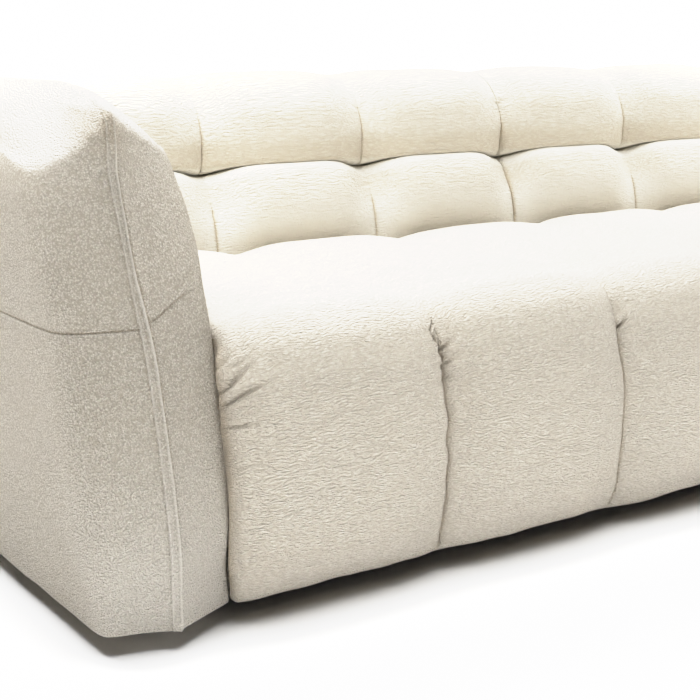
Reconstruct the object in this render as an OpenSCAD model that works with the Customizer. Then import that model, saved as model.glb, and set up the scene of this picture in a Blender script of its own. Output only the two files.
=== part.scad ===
// Two-module upholstered sofa with channelled seat, two-row channelled back and
// arms as high as the back. Millimetres. +Z up, the front faces -Y, and the origin
// is on the floor under the middle of the sofa.

/* [Overall size] */
// Depth of the sofa, front to rear
depth = 1020; // [1000:5:1040]
// Height of the back and arm crests above the floor
height = 760; // [750:1:780]
// Height of the seat channels' crowns above the floor
seat_h = 450; // [440:1:465]
// Width of one seat channel, from seam to seam
pitch = 373; // [350:1:390]
// Width of each arm cushion
arm_w = 218; // [214:1:230]
// Height of the upholstery's lower edge above the floor
hem_h = 30; // [26:1:31]

/* [Seat and back channels] */
// How far the middle of a seat channel stands proud of its seams
seat_crown = 1; // [0.3:0.05:1.2]
// How far the middle of a back channel stands proud of its seams
back_crown = 1; // [0.3:0.05:1.1]
// How square a seat channel's crown is
seat_square = 4; // [2:0.5:8]
// How square a back channel's crown is
back_square = 2.6; // [2:0.2:6]
// Gap between neighbouring channels
seam_gap = 0.8; // [0.6:0.1:1.2]
// Gap between the two modules
module_gap = 4; // [3:0.5:6]

/* [Arm cushion] */
// How far the arm's front seam leans back between the floor and its tip
arm_lean = 173; // [120:1:190]
// Height at which the seam starts to lean back
lean_from = 120; // [60:5:200]
// Height of the pinched tip
tip_h = 725; // [700:1:735]
// How far the front corners fall back from the seam
prow = 50; // [20:1:60]

/* [Timber frame] */
// Thickness of the seat rails
rail_t = 25; // [20:1:28]
// Thickness of the arm frame
arm_frame_t = 50; // [40:1:54]
// Depth of the back posts, sill and top rail
post_d = 45; // [38:1:45]
// Width of a back post
post_w = 40; // [30:1:50]

/* [Suspension] */
// Springs under each seat channel
springs_per_channel = 3; // [2:1:3]
// Diameter of the spring wire
wire_d = 3.8; // [3:0.1:4]
// Width of the elastic webbing
web_w = 60; // [40:1:80]

/* [Feet and bolts] */
// Diameter of a foot
foot_d = 60; // [45:1:70]
// Diameter of the foot screws' shank
screw_d = 4.8; // [4:0.1:6]
// Diameter of the bolts that join the modules
bolt_d = 8; // [6:1:8]

/* [Hidden] */
$fn = 40;
channels = 3;
L = channels * pitch;                 // seat end, from the middle
half = L + arm_w + 3;                 // outer face of the arm
front = -depth / 2;
rear = depth / 2;
base = hem_h + 4;                     // underside of the timber
rail_y = front + 95;                  // front face of the front rail
rail_z = 215;                         // top of the seat rails
spring_y = 185;                       // front face of the spring rail
post_y = rear - 70;                   // front face of the back posts
rail_top = height - 60;               // top of the back and arm top rails
arm_x = L + 111;                      // middle of the arm frame
fabric = [0.93, 0.90, 0.84];
fabric_shade = [0.90, 0.87, 0.80];
timber = [0.78, 0.62, 0.42];
board = [0.62, 0.47, 0.32];
steel = [0.66, 0.68, 0.70];
foam = [0.96, 0.90, 0.66];
felt = [0.55, 0.56, 0.58];
black = [0.08, 0.08, 0.09];

// ---- helpers ----

// A box from its lowest to its highest corner
module box(a, b) { translate(a) cube(b - a); }

// The left module as drawn, or its mirror image on the right
module side(s) { if (s < 0) children(); else mirror([1, 0, 0]) children(); }

// The same piece in both modules
module both() { children(); mirror([1, 0, 0]) children(); }

function flatten(v) = [for (a = v) for (b = a) b];
function mix(a, b, t) = [for (i = [0:len(a) - 1]) a[i] * (1 - t) + b[i] * t];

// Triangles from corner a to each pair of neighbours among corners b to c
function fan(a, b, c) = [for (i = [b:c - 1]) [a, i, i + 1]];

// A closed solid through rings of equal length, each ring flat at its two ends.
// ends lists the triangles of an end, in the ring's own direction.
module loft(rings, ends) {
  n = len(rings[0]);
  m = len(rings);
  polyhedron(
    points = flatten(rings),
    faces = concat(
      ends,
      [for (t = ends) [(m - 1) * n + t[2], (m - 1) * n + t[1], (m - 1) * n + t[0]]],
      [for (j = [0:m - 2]) for (i = [0:n - 1]) [j * n + i, (j + 1) * n + i, j * n + (i + 1) % n]],
      [for (j = [0:m - 2]) for (i = [0:n - 1]) [j * n + (i + 1) % n, (j + 1) * n + i, (j + 1) * n + (i + 1) % n]]),
    convexity = 8);
}

// Stations across a channel, from seam to seam
stations = [-1, -0.94, -0.8, -0.5, 0, 0.5, 0.8, 0.94, 1];
function crown(s, p) = 1 - pow(abs(s), p);

// One channel: a side profile at the seams, bulging to another at the middle
module channel(x0, x1, seam, mid, amount, p, ends) {
  loft([for (s = stations)
    let (x = (x0 + x1) / 2 + s * (x1 - x0) / 2, t = amount * crown(s, p))
    [for (i = [0:len(seam) - 1]) let (q = mix(seam[i], mid[i], t)) [x, q[0], q[1]]]], ends);
}

// Ends of channel k, counted 0 to 5 from the left, with its share of the gaps
function x_lo(k) = -L + k * pitch + (k == channels ? module_gap / 2 : seam_gap / 2);
function x_hi(k) = -L + (k + 1) * pitch - (k == channels - 1 ? module_gap / 2 : seam_gap / 2);

// ---- side profiles, as [y, z] ----

sz = seat_h / 450;
f = front;
seat_seam = [
  [f + 58, hem_h], [f + 35, 74], [f + 28, 130], [f + 24, 205], [f + 25, 252],
  [f + 37, 305 * sz], [f + 58, 372 * sz], [f + 76, 404 * sz], [f + 110, 424 * sz],
  [f + 180, 430 * sz], [-120, 430 * sz], [70, 428 * sz], [150, 424 * sz],
  [195, 416 * sz], [216, 398 * sz], [224, 331],
  [f + 92, 331], [f + 92, hem_h + 3]];
seat_mid = [
  [f + 50, hem_h], [f + 22, 74], [f + 8, 130], [f, 205], [f, 252],
  [f + 7, 305 * sz], [f + 24, 372 * sz], [f + 46, 410 * sz], [f + 88, 438 * sz],
  [f + 170, 449 * sz], [-120, 450 * sz], [80, 449 * sz], [160, 443 * sz],
  [203, 428 * sz], [219, 402 * sz], [224, 331],
  [f + 92, 331], [f + 92, hem_h + 3]];

lower_seam = [
  [229, 238], [229, 385], [230, 412], [234, 445], [243, 478], [252, 502],
  [262, 520], [276, 536], [292, 547], [308, 552], [330, 554], [post_y - 52, 554],
  [post_y - 52, 238]];
lower_mid = [
  [229, 238], [229, 385], [221, 412], [211, 445], [205, 482], [209, 518],
  [224, 546], [248, 562], [272, 566], [300, 560], [330, 554], [post_y - 52, 554],
  [post_y - 52, 238]];

h = height;
upper_seam = [
  [post_y - 52, 559], [335, 559], [318, 565], [302, 580], [292, 606], [293, 642],
  [305, h - 78], [328, h - 47], [360, h - 25], [395, h - 14], [rear - 78, h - 19],
  [rear - 42, h - 38], [rear - 16, h - 56], [rear - 7, h - 68],
  [rear - 21, h - 68], [rear - 21, h - 57], [post_y - 9, h - 57], [post_y - 9, h - 107],
  [post_y - 52, h - 107]];
upper_mid = [
  [post_y - 52, 559], [335, 559], [300, 566], [272, 583], [256, 613], [251, 650],
  [262, h - 69], [287, h - 34], [330, h - 11], [382, h - 3], [rear - 78, h - 9],
  [rear - 40, h - 29], [rear - 12, h - 53], [rear - 3, h - 68],
  [rear - 21, h - 68], [rear - 21, h - 57], [post_y - 9, h - 57], [post_y - 9, h - 107],
  [post_y - 52, h - 107]];

// Triangles that fill the ends: from the seat's inner corner, from the lower pad's
// front, and around the top rail
seat_ends = concat(fan(16, 0, 15), [[16, 17, 0]]);
lower_ends = fan(12, 0, 11);
upper_ends = concat(fan(18, 0, 9), [[18, 9, 16], [18, 16, 17], [16, 9, 10], [16, 10, 11],
  [16, 11, 15], [11, 12, 15], [12, 13, 15], [13, 14, 15]]);

// ---- cushions ----

module seat_pad(k) {
  color(fabric) channel(x_lo(k), x_hi(k), seat_seam, seat_mid, seat_crown, seat_square, seat_ends);
}

module lower_back_pad(k) {
  color(fabric) channel(x_lo(k), x_hi(k), lower_seam, lower_mid, back_crown, back_square, lower_ends);
}

module upper_back_pad(k) {
  color(fabric) channel(x_lo(k), x_hi(k), upper_seam, upper_mid, back_crown, back_square, upper_ends);
}

// Where the arm's front seam stands at height z
function seam_y(z) = front + 10 + (z <= lean_from ? 0
  : z <= tip_h ? arm_lean * pow((z - lean_from) / (tip_h - lean_from), 1.35)
  : arm_lean + (z - tip_h) * 3.2);

// Half widths of the arm at height z, to the outside and to the inside of its seam
wo = half - arm_x;
wi = arm_x - L - 3;
function rounding(t) = t <= 0 ? 1 : pow(1 - pow(t, 2.4), 1 / 2.4);
function out_w(z) = wo * (z < 200 ? 0.80 + 0.20 * sin(90 * (z - hem_h) / (200 - hem_h)) : 1)
  * rounding((z - height + 160) / 163);
function in_w(z) = wi * rounding((z - height + 100) / 103);

// Places around an arm ring: share of the half width, and how far back from the seam
arm_front = [[0, 0], [0.3, 0.14], [0.6, 0.42], [0.84, 0.8], [0.96, 1.15], [1, 1.8]];
function arm_ring(z) = let (
    y0 = seam_y(z), y1 = rear - 4 - (z > height - 60 ? (z - height + 60) * 0.6 : 0),
    wo = out_w(z), wi = in_w(z), k = min(1, wo / 80) * prow)
  concat(
    [for (q = arm_front) [-q[0] * wo, y0 + q[1] * k, z]],
    [for (t = [0.33, 0.67]) [-wo, (y0 + 1.8 * k) * (1 - t) + (y1 - 1.6 * k) * t, z]],
    [[-wo, y1 - 1.6 * k, z], [-0.95 * wo, y1 - 0.7 * k, z], [-0.75 * wo, y1 - 0.15 * k, z],
     [0, y1, z], [0.9 * wi, y1 - 0.02 * k, z], [wi, y1 - 0.3 * k, z]],
    [for (t = [0.33, 0.67]) [wi, (y1 - 0.3 * k) * (1 - t) + (y0 + 1.8 * k) * t, z]],
    [for (i = [len(arm_front) - 1:-1:1]) let (q = arm_front[i]) [q[0] * wi, y0 + q[1] * k, z]]);
arm_levels = [hem_h, 75, 130, 200, 290, 380, 460, 540, 600, 645, 685, 712, tip_h, 740, 751, height];

module arm_cushion(s) {
  color(fabric_shade) side(s) difference() {
    translate([-arm_x, 0, 0]) loft([for (z = arm_levels) arm_ring(z)], fan(0, 1, len(arm_ring(200)) - 1));
    // slot for the arm frame
    translate([-arm_x - arm_frame_t / 2 - 4, 0, 0]) rotate([90, 0, 90])
      linear_extrude(arm_frame_t + 8)
        polygon([[front + 165, 0], [front + 165, 60], [front + 235, rail_top + 3],
                 [rear - 18, rail_top + 3], [rear - 18, 0]]);
    // room for the seat base beside it
    box([-arm_x - arm_frame_t / 2 - 4, front + 92, 0], [-L + 20, rear - 18, 235]);
  }
}

// The rear cover of a module, between the arms, bulging a little
back_levels = [hem_h, 60, 120, 300, 480, 600, 660, height - 71];
module outside_back(s) {
  y0 = rear - 19.5;
  color(fabric) side(s) loft([for (x = [-L + 0.4, -L + 25, -L + 120, -L / 2, -120, -25, -module_gap / 2])
    let (t = 1 - pow(abs(2 * (x + L) / L - 1), 4))
    concat(
      [for (z = back_levels)
        let (b = 1 - pow(abs(2 * (z - hem_h) / (height - 71 - hem_h) - 1), 4)) [x, rear - 8 + 8 * t * b, z]],
      [[x, y0, height - 71], [x, y0, hem_h]])], fan(9, 0, 8));
}

// ---- timber frame ----

module front_rail(s) {
  color(timber) side(s)
    box([-arm_x - arm_frame_t / 2, rail_y, base], [-module_gap / 2 - 1, rail_y + rail_t, rail_z]);
}

module rear_sill(s) {
  color(timber) side(s)
    box([-arm_x - arm_frame_t / 2, post_y, base], [-module_gap / 2 - 1, post_y + post_d, 120]);
}

bolt_places = [[-260, 150], [60, 150], [340, 150]];
module side_rails() {
  color(timber) both() {
    box([-L + 4, rail_y + rail_t, base], [-L + 4 + rail_t, post_y, rail_z]);
    difference() {
      box([-module_gap / 2 - 1 - rail_t, rail_y + rail_t, base], [-module_gap / 2 - 1, post_y, rail_z]);
      for (p = bolt_places) translate([-40, p[0], p[1]]) rotate([0, 90, 0]) cylinder(d = bolt_d + 1, h = 60);
    }
  }
}

module spring_rails() {
  color(timber) both()
    box([-L + 4 + rail_t, spring_y, 100], [-module_gap / 2 - 1 - rail_t, spring_y + 25, rail_z]);
}

module cross_braces() {
  color(timber) both() for (k = [1:channels - 1])
    box([-L + k * pitch - 12, rail_y + rail_t, base], [-L + k * pitch + 12, post_y, 100]);
}

// Foot places in the left module
foot_x = [-L - 41, -L / 2, -module_gap / 2 - 1 - rail_t - 45];
foot_y = [rail_y + rail_t + 45, post_y - 45];
module foot_blocks() {
  color(timber) both() for (x = foot_x) for (y = foot_y) difference() {
    box([x - 45, y - 45, base], [x + 45, y + 45, base + 40]);
    translate([x, y, base - 1]) cylinder(d = screw_d + 0.2, h = 38);
  }
}

post_x = [-arm_x - arm_frame_t / 2, -L, -L + pitch - post_w / 2, -L + 2 * pitch - post_w / 2,
          -module_gap / 2 - 1 - post_w];
module back_posts(s) {
  color(timber) side(s) for (x = post_x)
    box([x, post_y, 120], [x + post_w, post_y + post_d, rail_top - 45]);
}

module back_top_rail(s) {
  color(timber) side(s)
    box([-arm_x - arm_frame_t / 2, post_y, rail_top - 45], [-module_gap / 2 - 1, post_y + post_d, rail_top]);
}

// Bottom rail, leaning front post, middle post and top rail, glued into one frame
module arm_frame(s) {
  color(timber) side(s) translate([-arm_x - arm_frame_t / 2, 0, 0]) {
    box([0, rail_y + rail_t, base], [arm_frame_t, post_y, base + 45]);
    box([0, 60, base + 45], [arm_frame_t, 105, rail_top - 45]);
    box([0, front + 245, rail_top - 45], [arm_frame_t, post_y, rail_top]);
    rotate([90, 0, 90]) linear_extrude(arm_frame_t)
      polygon([[front + 180, base + 45], [front + 225, base + 45],
               [front + 290, rail_top - 45], [front + 245, rail_top - 45]]);
  }
}

// Thin boards on both faces of each arm frame
module arm_panels() {
  color(board) both() for (x = [-arm_x - arm_frame_t / 2 - 3, -arm_x + arm_frame_t / 2])
    translate([x, 0, 0]) rotate([90, 0, 90]) linear_extrude(3)
      polygon([[front + 205, 240], [front + 250, rail_top - 5], [post_y, rail_top - 5], [post_y, 240]]);
}

module front_boards() {
  color(board) both() box([-L + 2, rail_y - 2.5, base], [-module_gap / 2 - 1, rail_y, rail_z + 11]);
}

module back_boards() {
  color(board) both()
    box([-L + 2, post_y + post_d, 60], [-module_gap / 2 - 1, post_y + post_d + 3, height - 72]);
}

// ---- suspension ----

spring_z = rail_z + 4;
leg_pitch = 40;
leg_n = 15;
spring_y0 = rail_y + rail_t / 2 + 1;
spring_dx = pitch / springs_per_channel;
spring_x = [for (k = [0:channels * springs_per_channel - 1]) -L + spring_dx * (k + 0.5)];

// One zigzag wire spring: straight legs joined by half-round bends
module spring() {
  for (k = [0:leg_n]) translate([-10, k * leg_pitch, 0]) rotate([0, 90, 0]) cylinder(d = wire_d, h = 20, $fn = 20);
  for (k = [0:leg_n - 1]) translate([k % 2 == 0 ? 10 : -10, (k + 0.5) * leg_pitch, 0])
    rotate([0, 0, k % 2 == 0 ? -90 : 90]) rotate_extrude(angle = 180, $fn = 32)
      translate([leg_pitch / 2, 0]) circle(d = wire_d, $fn = 20);
}

module seat_springs(s) {
  color(steel) side(s) for (x = spring_x) translate([x, spring_y0, spring_z]) spring();
}

module spring_clips() {
  color(steel) both() for (x = spring_x) for (y = [spring_y0, spring_y0 + leg_n * leg_pitch])
    translate([x, y, 0]) difference() {
      box([-8, -8, rail_z], [8, 8, rail_z + 8]);
      translate([-20, 0, spring_z]) rotate([0, 90, 0]) cylinder(d = wire_d + 0.2, h = 40, $fn = 20);
    }
}

module spring_tie_wires() {
  color(steel) both() for (y = [-200, 0]) translate([-L + 4 + rail_t / 2, y, spring_z + wire_d / 2 + 1.25])
    rotate([0, 90, 0]) cylinder(d = 2.4, h = L - 9 - rail_t - module_gap / 2, $fn = 20);
}

// Belts across the back frame, the upright ones in front of the level ones
module back_webbing(s) {
  color(black) side(s) {
    for (z = [250, 390, 530])
      box([-L, post_y - 3.2, z], [-module_gap / 2 - 1, post_y, z + web_w]);
    for (k = [0:channels - 1]) let (x = -L + (k + 0.5) * pitch) {
      box([x - web_w / 2, post_y - 6.4, 80], [x + web_w / 2, post_y - 3.2, rail_top - 10]);
      box([x - web_w / 2, post_y - 3.2, 80], [x + web_w / 2, post_y, 115]);
      box([x - web_w / 2, post_y - 3.2, rail_top - 40], [x + web_w / 2, post_y, rail_top - 10]);
    }
  }
}

module spring_felt() {
  color(felt) both() box([-L + 2, rail_y, rail_z + 8.4], [-module_gap / 2 - 1, 224, rail_z + 11.4]);
}

// ---- foam ----

module seat_foam(s) {
  color(foam) side(s) box([-L + 2, rail_y - 2.5, rail_z + 11.4], [-module_gap / 2 - 1, 224, 330]);
}

module back_foam(s) {
  color(foam) side(s) box([-L + 2, post_y - 51, 238], [-module_gap / 2 - 1, post_y - 7, height - 109]);
}

// ---- thin covers ----

module dust_cover(s) {
  color(black) side(s) difference() {
    box([-arm_x - arm_frame_t / 2, rail_y, base - 1.2], [-module_gap / 2 - 1, post_y + post_d, base]);
    for (x = foot_x) for (y = foot_y) translate([x, y, base - 3]) cylinder(d = screw_d + 1.2, h = 6);
  }
}

module joint_linings() {
  color(fabric_shade) both() difference() {
    box([-module_gap / 2 - 0.9, rail_y, base], [-module_gap / 2 + 0.1, post_y, rail_z]);
    for (p = bolt_places) translate([-20, p[0], p[1]]) rotate([0, 90, 0]) cylinder(d = bolt_d + 1, h = 30);
  }
}

// Twine ties from the crossings of the back seams through the foam to the webbing
module tuft_ties() {
  color(black) both() for (k = [1:channels - 1]) translate([-L + k * pitch, 336, 556.5])
    rotate([-90, 0, 0]) cylinder(d = 1.6, h = post_y - 336 - 53, $fn = 16);
}

// ---- feet and fasteners ----

module feet() {
  color(black) both() for (x = foot_x) for (y = foot_y) translate([x, y, 0]) difference() {
    rotate_extrude($fn = 48) polygon([[0, 0], [foot_d / 2 - 4, 0], [foot_d / 2, 4],
      [foot_d / 2, base - 1.2], [0, base - 1.2]]);
    translate([0, 0, -1]) cylinder(d = 12, h = 15);
    translate([0, 0, 10]) cylinder(d = screw_d + 0.6, h = base);
  }
}

module foot_screws() {
  color(steel) both() for (x = foot_x) for (y = foot_y) translate([x, y, 0]) rotate_extrude($fn = 32)
    polygon([[0, 10.2], [4.8, 10.2], [4.8, 14], [screw_d / 2, 14], [screw_d / 2, base + 30],
      [0, base + 36]]);
}

bolt_half = module_gap / 2 + 1 + rail_t;
module joining_bolts() {
  color(steel) for (p = bolt_places) translate([0, p[0], p[1]]) rotate([0, 90, 0]) {
    translate([0, 0, -bolt_half]) cylinder(d = bolt_d, h = 2 * bolt_half + 14);
    translate([0, 0, -bolt_half - 7]) cylinder(d = 1.7 * bolt_d, h = 7, $fn = 6);
  }
}

module joining_nuts() {
  color(steel) for (p = bolt_places) translate([bolt_half, p[0], p[1]]) rotate([0, 90, 0]) difference() {
    union() {
      cylinder(d = 2.6 * bolt_d, h = 1.8);
      translate([0, 0, 1.8]) cylinder(d = 1.7 * bolt_d, h = 7, $fn = 6);
    }
    translate([0, 0, -1]) cylinder(d = bolt_d + 0.1, h = 12);
  }
}

front_rail(-1);  // front_rail_left
front_rail(1);  // front_rail_right
rear_sill(-1);  // rear_sill_left
rear_sill(1);  // rear_sill_right
side_rails();
spring_rails();
cross_braces();
foot_blocks();
back_posts(-1);  // back_posts_left
back_posts(1);  // back_posts_right
back_top_rail(-1);  // back_top_rail_left
back_top_rail(1);  // back_top_rail_right
arm_frame(-1);  // arm_frame_left
arm_frame(1);  // arm_frame_right
arm_panels();
front_boards();
back_boards();
seat_springs(-1);  // seat_springs_left
seat_springs(1);  // seat_springs_right
spring_clips();
spring_tie_wires();
back_webbing(-1);  // back_webbing_left
back_webbing(1);  // back_webbing_right
spring_felt();
seat_foam(-1);  // seat_foam_left
seat_foam(1);  // seat_foam_right
back_foam(-1);  // back_foam_left
back_foam(1);  // back_foam_right
seat_pad(0);  // seat_pad_1
seat_pad(1);  // seat_pad_2
seat_pad(2);  // seat_pad_3
seat_pad(3);  // seat_pad_4
seat_pad(4);  // seat_pad_5
seat_pad(5);  // seat_pad_6
lower_back_pad(0);  // lower_back_pad_1
lower_back_pad(1);  // lower_back_pad_2
lower_back_pad(2);  // lower_back_pad_3
lower_back_pad(3);  // lower_back_pad_4
lower_back_pad(4);  // lower_back_pad_5
lower_back_pad(5);  // lower_back_pad_6
upper_back_pad(0);  // upper_back_pad_1
upper_back_pad(1);  // upper_back_pad_2
upper_back_pad(2);  // upper_back_pad_3
upper_back_pad(3);  // upper_back_pad_4
upper_back_pad(4);  // upper_back_pad_5
upper_back_pad(5);  // upper_back_pad_6
arm_cushion(-1);  // arm_cushion_left
arm_cushion(1);  // arm_cushion_right
outside_back(-1);  // outside_back_left
outside_back(1);  // outside_back_right
dust_cover(-1);  // dust_cover_left
dust_cover(1);  // dust_cover_right
joint_linings();
tuft_ties();
feet();
foot_screws();
joining_bolts();
joining_nuts();
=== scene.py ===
"""Looks of the two-module channelled sofa, in metres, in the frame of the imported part."""
import math

import bpy
import numpy as np
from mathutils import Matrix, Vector


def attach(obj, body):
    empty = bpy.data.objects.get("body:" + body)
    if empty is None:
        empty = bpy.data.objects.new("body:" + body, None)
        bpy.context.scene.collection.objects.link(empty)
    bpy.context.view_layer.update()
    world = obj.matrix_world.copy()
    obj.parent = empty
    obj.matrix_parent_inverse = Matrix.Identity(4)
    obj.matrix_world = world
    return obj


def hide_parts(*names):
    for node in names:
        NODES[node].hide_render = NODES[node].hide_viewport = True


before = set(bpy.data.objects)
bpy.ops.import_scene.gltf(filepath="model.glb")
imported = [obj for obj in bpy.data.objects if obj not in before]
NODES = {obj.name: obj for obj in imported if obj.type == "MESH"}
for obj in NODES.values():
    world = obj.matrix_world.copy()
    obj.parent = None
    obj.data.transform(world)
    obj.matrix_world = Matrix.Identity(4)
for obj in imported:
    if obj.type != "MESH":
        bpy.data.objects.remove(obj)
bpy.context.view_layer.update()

L = 1.119                    # seat end, from the middle
PITCH = 0.373
ARM_X = 1.2255               # front seam of the arm
ARM_OUT, ARM_IN = 1.3395, 1.1185

# ------------------------------------------------------------------ helpers


def lattice(ix, iy, iz, seed):
    """A repeatable number from -1 to 1 at each whole-number place."""
    n = (ix.astype(np.int64) * 73856093) ^ (iy.astype(np.int64) * 19349663) ^ (
        iz.astype(np.int64) * 83492791) ^ (seed * 2654435761)
    n = (n ^ (n >> 13)) * 1274126177 & 0xFFFFFFFF
    n = (n ^ (n >> 16)) * 2246822519 & 0xFFFFFFFF
    n = n ^ (n >> 15)
    return (n & 0xFFFF) / 32767.5 - 1.0


def noise3(x, y, z, seed):
    """Smooth noise from -1 to 1 with a period of one unit."""
    x, y, z = np.broadcast_arrays(x, y, z)
    i, j, k = np.floor(x), np.floor(y), np.floor(z)
    u, v, w = x - i, y - j, z - k
    u, v, w = (t * t * t * (t * (t * 6 - 15) + 10) for t in (u, v, w))
    i, j, k = i.astype(np.int64), j.astype(np.int64), k.astype(np.int64)
    out = 0
    for a in (0, 1):
        for b in (0, 1):
            for c in (0, 1):
                out = out + lattice(i + a, j + b, k + c, seed) * (
                    (u if a else 1 - u) * (v if b else 1 - v) * (w if c else 1 - w))
    return out


def noise1(t, seed):
    return noise3(np.asarray(t, float), np.zeros(1), np.zeros(1), seed)


def smooth(a, b, t):
    t = np.clip((t - a) / (b - a), 0, 1)
    return t * t * (3 - 2 * t)


def spline_rows(knots, t, closed=False):
    """Matrix that takes points at the knots to a smooth curve's points at t."""
    knots, t = np.asarray(knots, float), np.asarray(t, float)
    n = len(knots) - (1 if closed else 0)
    m = np.zeros((n, n))
    h = np.diff(knots)
    for i in range(n):
        if closed:
            a, b, p, q = h[(i - 1) % n], h[i % n], (i - 1) % n, (i + 1) % n
        elif 0 < i < n - 1:
            a, b, p, q = h[i - 1], h[i], i - 1, i + 1
        else:
            p, q = (0, 1) if i == 0 else (n - 2, n - 1)
            d = knots[q] - knots[p]
            m[i, p] -= 1 / d
            m[i, q] += 1 / d
            continue
        wa, wb = b / (a + b), a / (a + b)
        m[i, i] += wa / a - wb / b
        m[i, p] -= wa / a
        m[i, q] += wb / b
    seg = np.clip(np.searchsorted(knots, t, side="right") - 1, 0, len(h) - 1)
    s = (t - knots[seg]) / h[seg]
    rows = np.zeros((len(t), n))
    nxt = (seg + 1) % n
    r = np.arange(len(t))
    rows[r, seg] += 2 * s ** 3 - 3 * s ** 2 + 1
    rows[r, nxt] += -2 * s ** 3 + 3 * s ** 2
    rows += (s ** 3 - 2 * s ** 2 + s)[:, None] * h[seg][:, None] * m[seg]
    rows += (s ** 3 - s ** 2)[:, None] * h[seg][:, None] * m[nxt]
    return rows


def chord(points):
    d = np.linalg.norm(np.diff(points, axis=0), axis=1)
    return np.concatenate([[0], np.cumsum(d)])


def make(name, verts, faces, material, painted_shade_and_light=None, hard=60):
    """A mesh piece with smooth faces, sharp only where it turns by more than hard degrees."""
    me = bpy.data.meshes.new(name)
    quads = np.asarray(faces[0], np.int32).reshape(-1, 4)
    others = [f for f in faces[1]]
    me.vertices.add(len(verts))
    me.vertices.foreach_set("co", np.asarray(verts, np.float32).ravel())
    total = quads.size + sum(len(f) for f in others)
    me.loops.add(total)
    me.loops.foreach_set("vertex_index", np.concatenate(
        [quads.ravel()] + [np.asarray(f, np.int32) for f in others]))
    me.polygons.add(len(quads) + len(others))
    sizes = np.concatenate([np.full(len(quads), 4), [len(f) for f in others]]).astype(np.int32)
    me.polygons.foreach_set("loop_start", np.concatenate([[0], np.cumsum(sizes)[:-1]]).astype(np.int32))
    me.update(calc_edges=True)
    me.validate()
    me.polygons.foreach_set("use_smooth", np.ones(len(me.polygons), bool))
    me.set_sharp_from_angle(angle=math.radians(hard))
    # the per-point attribute holds painted shade above zero and painted highlight below zero
    if painted_shade_and_light is not None:
        at = me.attributes.new("painted_shade_and_light", "FLOAT", "POINT")
        at.data.foreach_set("value", np.asarray(painted_shade_and_light, np.float32).ravel())
    ob = bpy.data.objects.new(name, me)
    bpy.context.scene.collection.objects.link(ob)
    me.materials.append(material)
    return ob


def loft_faces(n_st, n_ring, flip=False):
    """Quads between rings of equal length, and the two flat ends."""
    i = np.arange(n_ring)
    j = np.arange(n_st - 1)[:, None]
    a, b = j * n_ring + i, j * n_ring + (i + 1) % n_ring
    c, d = (j + 1) * n_ring + (i + 1) % n_ring, (j + 1) * n_ring + i
    q = np.stack([a, b, c, d], -1).reshape(-1, 4)
    ends = [np.arange(n_ring)[::-1], (n_st - 1) * n_ring + np.arange(n_ring)]
    if flip:
        q = q[:, ::-1]
        ends = [e[::-1] for e in ends]
    return q, ends


# ---------------------------------------------------------------- materials


def new_material(name):
    m = bpy.data.materials.new(name)
    m.use_nodes = True
    nt = m.node_tree
    return m, nt, nt.nodes["Principled BSDF"]


def node(nt, kind, **values):
    n = nt.nodes.new(kind)
    for k, v in values.items():
        if k in n.inputs:
            n.inputs[k].default_value = v
        else:
            setattr(n, k, v)
    return n


def coords(nt, scale=(1, 1, 1), turn=(0, 0, 0)):
    tc = nt.nodes.new("ShaderNodeTexCoord")
    mp = nt.nodes.new("ShaderNodeMapping")
    mp.inputs["Scale"].default_value = scale
    mp.inputs["Rotation"].default_value = turn
    nt.links.new(tc.outputs["Object"], mp.inputs["Vector"])
    return mp.outputs["Vector"]


def noise(nt, vec, scale, detail=2.0, rough=0.5, distortion=0.0):
    n = node(nt, "ShaderNodeTexNoise", Scale=scale, Detail=detail, Roughness=rough, Distortion=distortion)
    nt.links.new(vec, n.inputs["Vector"])
    return n.outputs["Fac"]


def voronoi(nt, vec, scale, feature="SMOOTH_F1", jitter=1.0, soft=0.5):
    n = nt.nodes.new("ShaderNodeTexVoronoi")
    n.feature = feature
    n.inputs["Scale"].default_value = scale
    n.inputs["Randomness"].default_value = jitter
    if feature == "SMOOTH_F1":
        n.inputs["Smoothness"].default_value = soft
    nt.links.new(vec, n.inputs["Vector"])
    return n.outputs["Distance"]


def mathn(nt, op, a, b=None, clamp=False):
    n = nt.nodes.new("ShaderNodeMath")
    n.operation = op
    n.use_clamp = clamp
    for i, v in enumerate((a, b)):
        if v is None:
            continue
        if isinstance(v, (int, float)):
            n.inputs[i].default_value = v
        else:
            nt.links.new(v, n.inputs[i])
    return n.outputs[0]


def ramp(nt, fac, stops):
    n = nt.nodes.new("ShaderNodeValToRGB")
    e = n.color_ramp.elements
    while len(e) < len(stops):
        e.new(0.5)
    for el, (p, c) in zip(e, stops):
        el.position = p
        el.color = (*c, 1)
    nt.links.new(fac, n.inputs["Fac"])
    return n.outputs["Color"]


def remap(nt, v, a, b, c=0.0, d=1.0):
    n = nt.nodes.new("ShaderNodeMapRange")
    n.inputs["From Min"].default_value = a
    n.inputs["From Max"].default_value = b
    n.inputs["To Min"].default_value = c
    n.inputs["To Max"].default_value = d
    nt.links.new(v, n.inputs["Value"])
    return n.outputs["Result"]


def mixc(nt, fac, a, b, mode="MIX"):
    n = nt.nodes.new("ShaderNodeMix")
    n.data_type = "RGBA"
    n.blend_type = mode
    for sock, v in ((n.inputs["Factor"], fac), (n.inputs[6], a), (n.inputs[7], b)):
        if isinstance(v, (int, float)):
            sock.default_value = v
        elif isinstance(v, tuple):
            sock.default_value = (*v, 1)
        else:
            nt.links.new(v, sock)
    return n.outputs[2]


def bump(nt, height, strength, distance, before=None):
    n = node(nt, "ShaderNodeBump", Strength=strength, Distance=distance)
    nt.links.new(height, n.inputs["Height"])
    if before is not None:
        nt.links.new(before, n.inputs["Normal"])
    return n.outputs["Normal"]


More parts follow.
